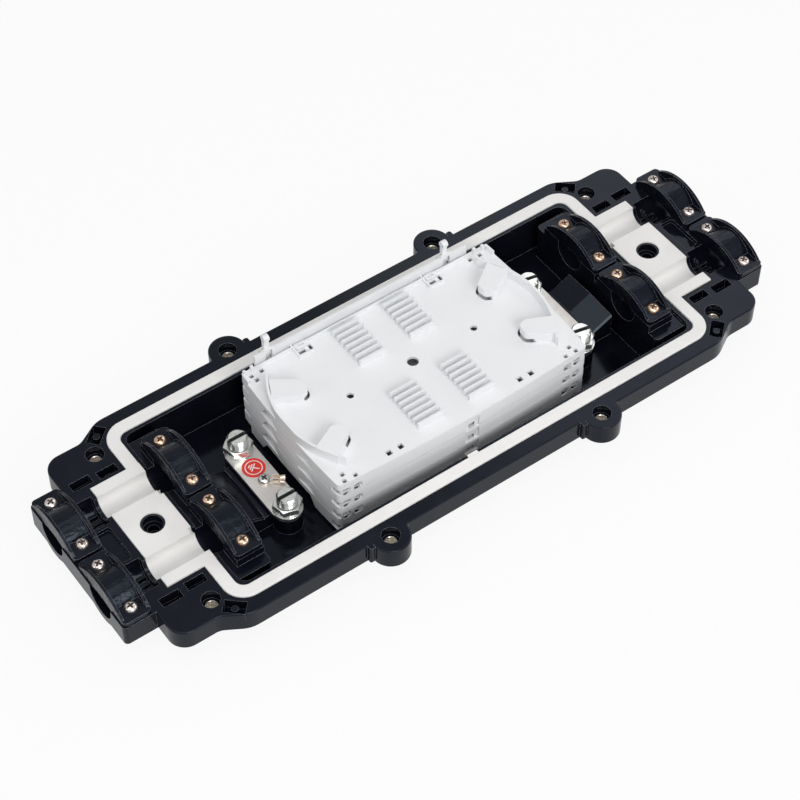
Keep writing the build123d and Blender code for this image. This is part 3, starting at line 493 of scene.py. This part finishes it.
def crossHeadScrew(name, radius, height, length, materials):
    # pan head with a cross recess on a threaded shank, top of the head at zero
    look = crossHead
    mesh = bmesh.new()
    head = [(0, 0), (radius * look["flat"], -look["crown"])]
    head += [(radius * out, -height * down) for out, down in look["dome"]]
    thread = []
    for i in range(int(length / look["pitch"])):
        crest = -height - look["pitch"] * i
        thread += [(look["shank"], crest), (look["shank"] - look["thread"], crest - look["pitch"] / 2)]
    lathe(mesh, head + thread + [(0, -height - length)], look["steps"])
    screw = meshPiece(name, mesh, materials)
    for turned in (False, True):
        rings = []
        for level, (longer, wider) in ((-height * look["depth"], look["bottom"]),
                                       (look["above"], look["mouth"])):
            reach = radius * look["reach"] * longer
            half = radius * look["width"] / 2 * wider
            ring = rectangle(-reach, reach, -half, half, level)
            rings.append([(y, -x, z) for x, y, z in ring] if turned else ring)
        # the cross's cut faces take the second material, the painted shade
        carve(screw, rings[0], rings[1], 1)
    return screw


clampScrew = {"height": 2.3, "length": 11.7, "turns": (8, 40, 71, 23), "turnOn": 25}


def makeClampScrews(node, shade):
    look = clampScrew
    boxes = solidBoxes(node)
    low, high = boxes[0]
    sample = crossHeadScrew(node + "Sample", (high.x - low.x) / 2 / mm, look["height"], look["length"],
                            (finishes[slotOf[node]], recessShadeFinishes[shade]))
    places = [standing(corners, look["turns"][i % 4] + look["turnOn"] * (i // 4))
              for i, corners in enumerate(boxes)]
    spread(node.title().replace("_", ""), sample, places, node)


earthScrew = {"wider": 1.15, "height": 1.8, "length": 6.0, "turn": 20}


def makeEarthScrew():
    look = earthScrew
    corners = solidBoxes("earth_screw")[0]
    radius = (corners[1].x - corners[0].x) / 2 / mm * look["wider"]
    sample = crossHeadScrew("earthSample", radius, look["height"], look["length"],
                            (finishes["zinc_bright"], recessShadeFinishes["zinc"]))
    spread("earthScrew", sample, [standing(corners, look["turn"])], "earth_screw")


slottedStud = {"radius": 5.8, "height": 5.6, "crown": 1.0, "thread": 0.9, "root": 0.35,
               "shank": 3.0, "length": 13.4, "rightTurn": -12,
               "slotWidth": 2.4, "slotDepth": 3.0, "slotReach": 9, "above": 2.0, "steps": 56}


def makeStuds():
    # cylinder head with a driver slot and a fine thread down its side
    look = slottedStud
    mesh = bmesh.new()
    outline = [(0, 0), (look["radius"] - look["crown"], 0), (look["radius"], -look["crown"])]
    depth = look["crown"]
    while depth + look["thread"] < look["height"]:
        outline += [(look["radius"] - look["root"], -depth - look["thread"] / 2),
                    (look["radius"], -depth - look["thread"])]
        depth += look["thread"]
    outline += [(look["radius"], -look["height"]), (look["shank"], -look["height"]),
                (look["shank"], -look["length"]), (0, -look["length"])]
    lathe(mesh, outline, look["steps"])
    stud = meshPiece("studSample", mesh, (finishes["zinc_bright"], recessShadeFinishes["zinc"]))
    reach = look["slotReach"]
    half = look["slotWidth"] / 2
    # the slot's cut faces take the second material, the painted shade
    carve(stud, rectangle(-reach, reach, -half, half, -look["slotDepth"]),
          rectangle(-reach, reach, -half, half, look["above"]), 1)
    places = [standing(corners, look["rightTurn"] if corners[0].x > 0 else 0)
              for corners in solidBoxes("slotted_studs")]
    spread("slottedStuds", stud, places, "slotted_studs")


hexNut = {"flats": 14.6, "height": 4.6, "bore": 5.6, "face": 0.96, "slope": 0.62,
          "turn": 12, "crease": 14, "steps": 72}


def makeNuts():
    # six flats, both faces turned to a cone so that the corners fall away
    look = hexNut
    steps = look["steps"]
    mesh = bmesh.new()
    rings = []
    bore = look["bore"]
    bottom = -look["height"]
    face = look["flats"] / 2 * look["face"]
    sector = math.pi / 3
    for kind in range(6):
        ring = []
        for i in range(steps):
            angle = math.tau * i / steps
            flat = look["flats"] / 2 / math.cos((angle + sector / 2) % sector - sector / 2)
            drop = (flat - face) * look["slope"]
            radius, height = ((bore, bottom), (face, bottom), (flat, bottom + drop),
                              (flat, -drop), (face, 0), (bore, 0))[kind]
            ring.append(mesh.verts.new((radius * math.cos(angle) * mm, radius * math.sin(angle) * mm,
                                        height * mm)))
        rings.append(ring)
    for first, second in zip(rings, rings[1:] + rings[:1]):
        for i in range(steps):
            after = (i + 1) % steps
            mesh.faces.new((first[i], first[after], second[after], second[i]))
    nut = meshPiece("nutSample", mesh, (finishes["zinc_bright"],))
    places = [standing(corners, look["turn"]) for corners in solidBoxes("stud_nuts")]
    spread("studNuts", nut, places, "stud_nuts", look["crease"])


washers = {"flatRadius": 8.4, "flat": 0.7, "springRadius": 7.5, "spring": 0.6, "bore": 5.1,
           "split": 1.1, "slant": 0.7, "splitReach": (2, 12), "splitRise": 1.0,
           "firstTurn": -70, "turnOn": 45, "steps": 56}


def makeWashers():
    # a flat washer with a split spring washer on it
    look = washers
    boxes = solidBoxes("stud_washers")
    low, high = boxes[0]
    full = (high.z - low.z) / mm
    mesh = bmesh.new()
    lathe(mesh, edgedRing(look["bore"], look["springRadius"], -look["spring"], 0), look["steps"], True)
    spring = meshPiece("springSample", mesh, (finishes["zinc_bright"],))
    half = look["split"] / 2
    start, end = look["splitReach"]
    rings = [rectangle(start, end, -half + way * look["slant"], half + way * look["slant"],
                       way * look["splitRise"]) for way in (-1, 1)]
    carve(spring, rings[0], rings[1])
    mesh = bmesh.new()
    flat = edgedRing(look["bore"], look["flatRadius"], -full, look["flat"] - full)
    lathe(mesh, flat, look["steps"], True)
    mesh.from_mesh(spring.data)
    bpy.data.objects.remove(spring)
    sample = meshPiece("washerSample", mesh, (finishes["zinc_bright"],))
    places = [standing(corners, look["firstTurn"] + look["turnOn"] * i)
              for i, corners in enumerate(boxes)]
    spread("studWashers", sample, places, "stud_washers")


insert = {"outer": 3.4, "edge": 0.15, "thread": 2.6, "root": 0.3, "pitch": 0.8, "bevel": 0.4,
          "steps": 40}


def makeInserts():
    # threaded sleeves pressed into the flange holes
    look = insert
    boxes = solidBoxes("threaded_inserts")
    depth = (boxes[0][1].z - boxes[0][0].z) / mm
    mesh = bmesh.new()
    outline = [(look["thread"] + look["bevel"], 0), (look["outer"] - look["edge"], 0),
               (look["outer"], -look["edge"]), (look["outer"], -depth), (look["thread"], -depth)]
    count = int((depth - look["bevel"]) / look["pitch"])
    for i in range(count):
        height = -look["bevel"] - (count - 1 - i) * look["pitch"]
        outline += [(look["thread"] + look["root"], height - look["pitch"] / 2),
                    (look["thread"], height)]
    lathe(mesh, outline, look["steps"], True)
    sample = meshPiece("insertSample", mesh, (finishes["insert_brass"],))
    spread("threadedInserts", sample, [standing(corners) for corners in boxes], "threaded_inserts")


# a crimp is its start and end along the tail, radius, half opening in degrees and flare at the end
earthLug = {"turn": -36, "ring": 3.6, "bore": 1.6, "thick": 0.6, "tail": ((3.0, 1.9375), (10.5, 1.55)),
            "sink": 0.02, "crimps": ((4.9, 7.9, 2.1, 140, 0.0), (8.6, 11.2, 2.4, 72, 0.5)),
            "steps": 48, "wingSteps": 14}


def bentWings(mesh, start, end, radius, opening, flare):
    # a strip bent up on both sides of the tail, open at the top
    thick = earthLug["thick"]
    steps = earthLug["wingSteps"]
    rows = []
    for x, lean in ((start, 0.0), (end, flare)):
        row = []
        for reach in (radius + lean, radius + lean - thick):
            line = []
            for i in range(steps + 1):
                angle = math.radians(-90 - opening + 2 * opening * i / steps)
                line.append((x, reach * math.cos(angle), radius + reach * math.sin(angle)))
            row.append(line)
        rows.append(row[0] + row[1][::-1])
    prism(mesh, rows[0], rows[1])


def makeEarthLug():
    # ring terminal with a closed wire crimp and an open pair of wings behind it
    look = earthLug
    mesh = bmesh.new()
    lathe(mesh, edgedRing(look["bore"], look["ring"], 0, look["thick"]), look["steps"], True)
    low = look["sink"]
    high = look["thick"] - look["sink"]
    rings = [[(x, -y, low), (x, y, low), (x, y, high), (x, -y, high)] for x, y in look["tail"]]
    prism(mesh, rings[0], rings[1])
    for crimp in look["crimps"]:
        bentWings(mesh, *crimp)
    sample = meshPiece("lugSample", mesh, (finishes["lug_brass"],))
    low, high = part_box("earth_screw")
    spot = Vector(((low.x + high.x) / 2, (low.y + high.y) / 2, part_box("earth_lug")[0].z))
    place = Matrix.Translation(spot) @ Matrix.Rotation(math.radians(look["turn"]), 4, "Z")
    spread("earthLug", sample, [place], "earth_lug")


# the floor of a tray lies the skirt's height above its lowest edge; low and high are heights from
# there, and a cut runs along Y from front to back
trayWindows = {"places": (69.8, 76.9), "skirt": 9.9, "front": -60, "ends": 95,
               "recess": {"half": 2.5, "low": -9.5, "high": -5.2, "back": -46.75},
               "slot": {"half": 2.1, "low": -8.1, "high": -5.5, "back": -45.2},
               "beads": {"right": 82.7, "left": -80.3, "low": -9.0, "high": -4.8, "back": -40.5}}


def dressTray(number):
    # the tray's own form with its snap windows opened up and the front corners beaded
    look = trayWindows
    node = "splice_tray_" + str(number)
    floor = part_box(node)[0].z / mm + look["skirt"]
    mesh = bmesh.new()
    mesh.from_mesh(nodes[node].data)
    bmesh.ops.remove_doubles(mesh, verts=mesh.verts, dist=weld)
    tray = meshPiece("traySample", mesh, (finishes["tray_white"],))
    beads = look["beads"]
    cuts = [(beads["right"], look["ends"], beads), (-look["ends"], beads["left"], beads)]
    for cut in (look["recess"], look["slot"]):
        cuts += [(side * place - cut["half"], side * place + cut["half"], cut)
                 for side in (-1, 1) for place in look["places"]]
    for start, end, cut in cuts:
        rings = [rectangle(start, end, look["front"], cut["back"], floor + cut[level])
                 for level in ("low", "high")]
        carve(tray, rings[0], rings[1])
    spread("spliceTray" + str(number), tray, [Matrix.Identity(4)], node)


for number in (1, 2, 3, 4):
    dressTray(number)
print("trays dressed")
makeClampScrews("outer_clamp_screws", "steel")
makeClampScrews("inner_clamp_screws", "yellow")
makeEarthScrew()
makeStuds()
makeNuts()
makeWashers()
makeInserts()
makeEarthLug()
print("metal pieces made")


# floor, light and camera; a lamp is its name, place, target, size in metres and power in watts

studio = {"floorSize": 6.0, "floorColour": (0.80, 0.80, 0.805, 1), "floorRough": 0.9,
          "worldColour": (0.95, 0.97, 1.0, 1), "worldStrength": 0.28,
          "floorMask": {"Is Camera Ray": 0.9, "Is Glossy Ray": 0.4, "Is Transmission Ray": 0.4},
          "airMask": {"Is Camera Ray": 1.0, "Is Glossy Ray": 0.4, "Is Transmission Ray": 0.4},
          "lamps": (
              ("overhead", (-0.35, -0.25, 1.5), (0.0, 0.0, 0.0), 1.3, 7.2),
              ("frontFill", (-0.15, -1.6, 1.1), (0.0, 0.0, 0.0), 0.9, 15.0),
              ("rightFill", (1.5, -0.5, 0.8), (0.0, 0.0, 0.0), 0.9, 4.5),
              ("backPanel", (1.45, 1.05, 1.45), (0.0, 0.0, 0.0), 1.2, 4.3),
              ("leftFill", (-1.6, 0.35, 0.6), (0.0, 0.0, 0.0), 0.8, 4.6),
              ("rampGlow", (-0.405, 0.675, 1.48), (0.12, 0.0, 0.0), 0.3, 0.45),
              ("frontEdge", (0.55, -1.15, 0.77), (0.0, 0.0, 0.0), 0.5, 0.9),
          )}


def layFloor():
    # a plain floor that shows white and keeps the object's shadow
    half = studio["floorSize"] / 2
    mesh = bpy.data.meshes.new("studioFloor")
    mesh.from_pydata(rectangle(-half, half, -half, half, 0), [], [(0, 1, 2, 3)])
    floor = bpy.data.objects.new("studioFloor", mesh)
    bpy.context.scene.collection.objects.link(floor)
    paint = Paint("studioFloor")
    shader = paint.node("ShaderNodeBsdfPrincipled", None,
                        {"Base Color": studio["floorColour"], "Roughness": studio["floorRough"]}, "BSDF")
    white = paint.node("ShaderNodeEmission", None, {"Color": grey(1), "Strength": 1.0})
    mixed = paint.node("ShaderNodeMixShader", None,
                       {0: paint.rayMask(studio["floorMask"]), 1: shader, 2: white})
    paint.show(mixed, "ShaderNodeOutputMaterial")
    mesh.materials.append(paint.material)


def hangLamp(name, place, target, size, power):
    data = bpy.data.lights.new(name, "AREA")
    data.shape = "SQUARE"
    data.size = size
    data.energy = power
    lamp = bpy.data.objects.new(name, data)
    lamp.location = place
    lamp.rotation_euler = (Vector(target) - Vector(place)).to_track_quat("-Z", "Y").to_euler()
    bpy.context.scene.collection.objects.link(lamp)


def lightWorld():
    # plain white where the camera looks past the floor, soft grey as a light
    world = bpy.data.worlds.new("studioAir")
    world.use_nodes = True
    board = Board(world.node_tree)
    air = board.node("ShaderNodeBackground", None,
                     {"Color": studio["worldColour"], "Strength": studio["worldStrength"]})
    white = board.node("ShaderNodeBackground", None, {"Color": grey(1), "Strength": 1.0})
    mixed = board.node("ShaderNodeMixShader", None,
                       {0: board.rayMask(studio["airMask"]), 1: air, 2: white})
    board.show(mixed, "ShaderNodeOutputWorld")
    bpy.context.scene.world = world


photoCamera = {"place": (-0.46711, -0.63608, 0.97188), "look": (0.3715, 0.5153, -0.7723), "roll": 0.13,
               "lens": 100.5, "sensor": 36, "clip": (0.05, 20)}


def placeCamera():
    data = bpy.data.cameras.new("photoCamera")
    data.lens = photoCamera["lens"]
    data.sensor_width = photoCamera["sensor"]
    data.clip_start, data.clip_end = photoCamera["clip"]
    camera = bpy.data.objects.new("photoCamera", data)
    turn = Vector(photoCamera["look"]).to_track_quat("-Z", "Y").to_matrix().to_4x4()
    camera.matrix_world = (Matrix.Translation(photoCamera["place"]) @ turn
                           @ Matrix.Rotation(math.radians(photoCamera["roll"]), 4, "Z"))
    bpy.context.scene.collection.objects.link(camera)
    bpy.context.scene.camera = camera


layFloor()
for lamp in studio["lamps"]:
    hangLamp(*lamp)
lightWorld()
placeCamera()
bpy.context.scene.view_settings.view_transform = "Standard"
print("studio ready")
